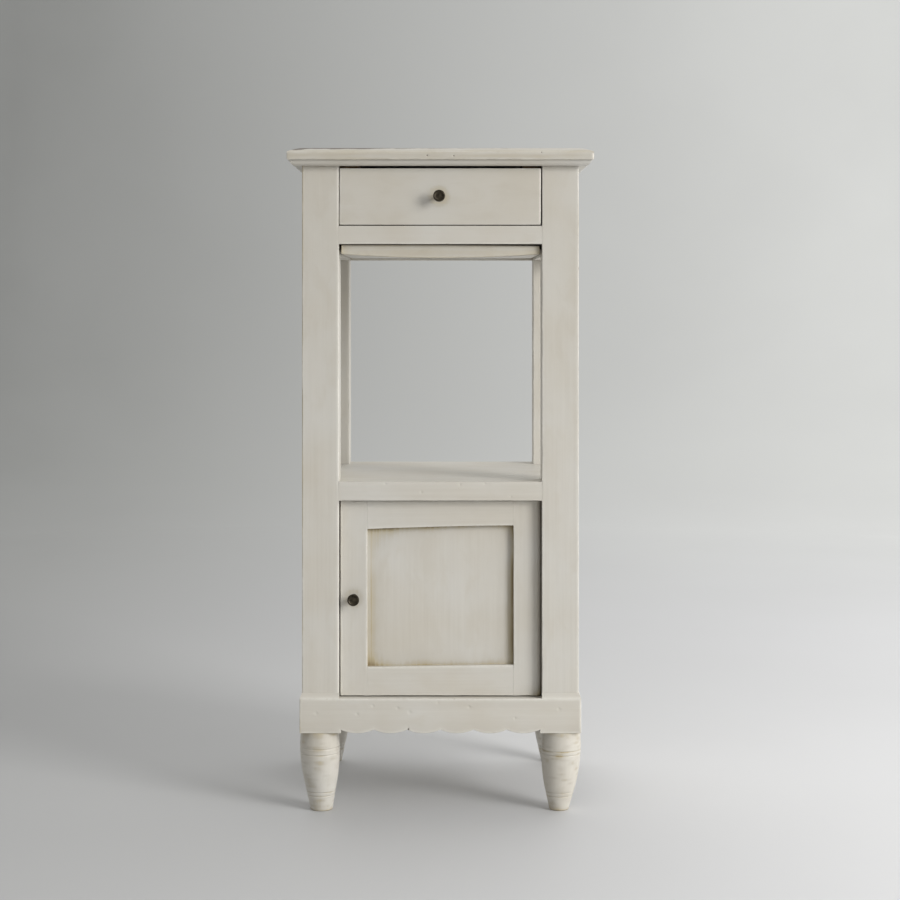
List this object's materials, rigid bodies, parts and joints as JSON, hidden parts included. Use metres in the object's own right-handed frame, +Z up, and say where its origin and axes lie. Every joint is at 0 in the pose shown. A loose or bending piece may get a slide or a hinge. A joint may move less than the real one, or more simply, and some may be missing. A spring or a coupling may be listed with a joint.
{
  "type": "nightstand",
  "caption": "Tall narrow painted bedside cupboard on turned feet, with a drawer, a pull-out slide, an open niche and a panelled door.",
  "frame": {"origin": "middle of the footprint of the whole object, on the floor", "axes": "+Z up, +X to the right as seen from the front, -Y out of the front (drawer and door face)"},
  "size_m": [0.382, 0.3294, 0.831],
  "materials": {
    "painted_wood": "worn brushed off-white paint",
    "bare_wood": "aged unfinished pine",
    "aged_bronze": "dark bronzed",
    "steel": "plain",
    "brass": "satin"
  },
  "bodies": {
    "cabinet": {"top_board": "painted_wood", "moulding_front": "painted_wood", "moulding_left": "painted_wood", "moulding_right": "painted_wood", "post_front_left": "painted_wood", "post_front_right": "painted_wood", "post_rear_left": "painted_wood", "post_rear_right": "painted_wood", "foot_front_left": "painted_wood", "foot_front_right": "painted_wood", "foot_rear_left": "painted_wood", "foot_rear_right": "painted_wood", "plinth_front": "painted_wood", "plinth_left": "painted_wood", "plinth_right": "painted_wood", "plinth_back": "painted_wood", "glue_blocks": "bare_wood", "cupboard_floor": "painted_wood", "lower_side_left": "painted_wood", "lower_side_right": "painted_wood", "lower_back": "painted_wood", "shelf_front_rail": "painted_wood", "shelf_side_rail_left": "painted_wood", "shelf_side_rail_right": "painted_wood", "shelf_back_rail": "painted_wood", "shelf_board": "painted_wood", "upper_side_left": "painted_wood", "upper_side_right": "painted_wood", "upper_back": "painted_wood", "drawer_rail": "painted_wood", "runner_left": "bare_wood", "runner_right": "bare_wood", "kickers": "bare_wood", "kicker_screws": "steel", "drawer_stops": "bare_wood", "slide_rail_left": "painted_wood", "slide_rail_right": "painted_wood", "top_dowels": "bare_wood", "door_stop": "painted_wood", "door_pivots": "steel", "catch_strike": "brass"},
    "drawer": {"drawer_front": "painted_wood", "drawer_side_left": "bare_wood", "drawer_side_right": "bare_wood", "drawer_back": "bare_wood", "drawer_bottom": "bare_wood", "drawer_knob": "aged_bronze", "drawer_knob_screw": "steel"},
    "slide": {"slide_board": "painted_wood", "slide_nosing": "painted_wood", "slide_stop_pegs": "bare_wood"},
    "door": {"door_stile_left": "painted_wood", "door_stile_right": "painted_wood", "door_rail_top": "painted_wood", "door_rail_bottom": "painted_wood", "door_panel": "painted_wood", "door_knob": "aged_bronze", "door_knob_screw": "steel", "ball_catch": "brass"}
  },
  "joints": [
    {"name": "drawer_slide", "type": "slide", "parent": "cabinet", "child": "drawer", "axis": [0, -1, 0], "range_m": [0, 0.2]},
    {"name": "slide_pull", "type": "slide", "parent": "cabinet", "child": "slide", "axis": [0, -1, 0], "range_m": [0, 0.18]},
    {"name": "door_hinge", "type": "hinge", "parent": "cabinet", "child": "door", "pos_m": [0.1163, -0.12375, 0.2665], "axis": [0, 0, 1], "range_deg": [0, 90]}
  ]
}
